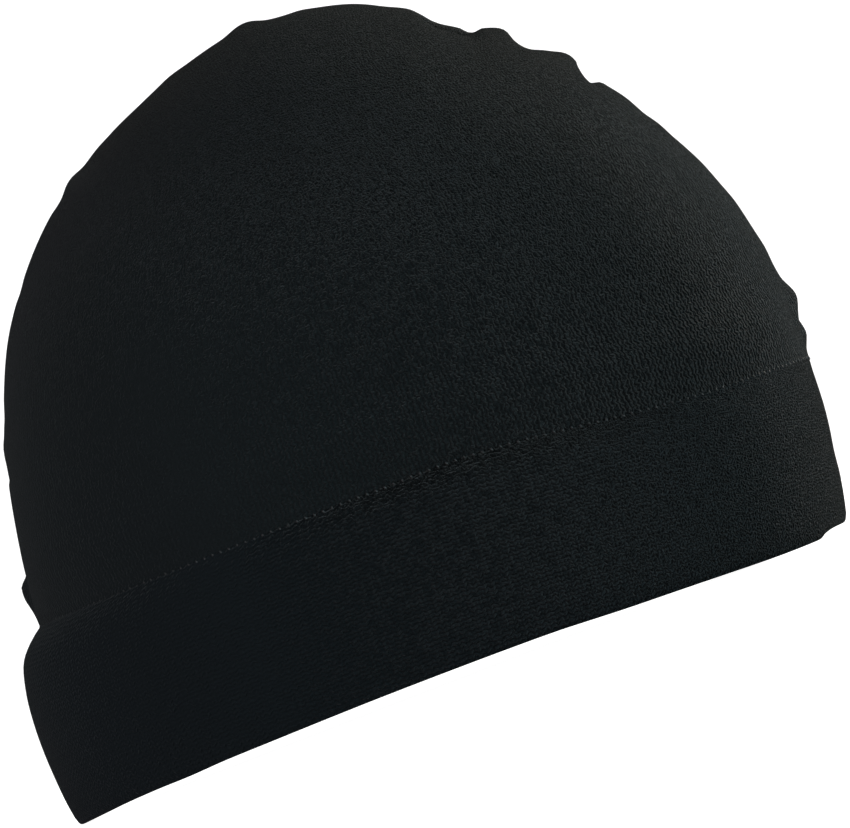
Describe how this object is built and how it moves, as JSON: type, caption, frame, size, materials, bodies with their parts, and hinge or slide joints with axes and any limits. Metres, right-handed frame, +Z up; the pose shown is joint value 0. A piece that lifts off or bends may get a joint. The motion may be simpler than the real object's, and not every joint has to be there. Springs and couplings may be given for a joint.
{
  "type": "skull cap",
  "caption": "Close-fitting stretch-knit skull cap, sewn from two crown panels and a broad doubled band, resting open side down on its hem.",
  "frame": {"origin": "middle of the bottom of the cap's box, in the plane that its hem rests on", "axes": "+X towards the forehead, +Y towards the wearer's left, +Z up"},
  "size_m": [0.2079, 0.153, 0.164],
  "materials": {
    "crown_knit": "fine near-black stretch knit, wales upright, soft sheen",
    "band_knit": "the same knit turned on its side and folded double"
  },
  "bodies": {
    "root": {"crown_right": "crown_knit", "crown_left": "crown_knit", "band": "band_knit"}
  },
  "joints": []
}
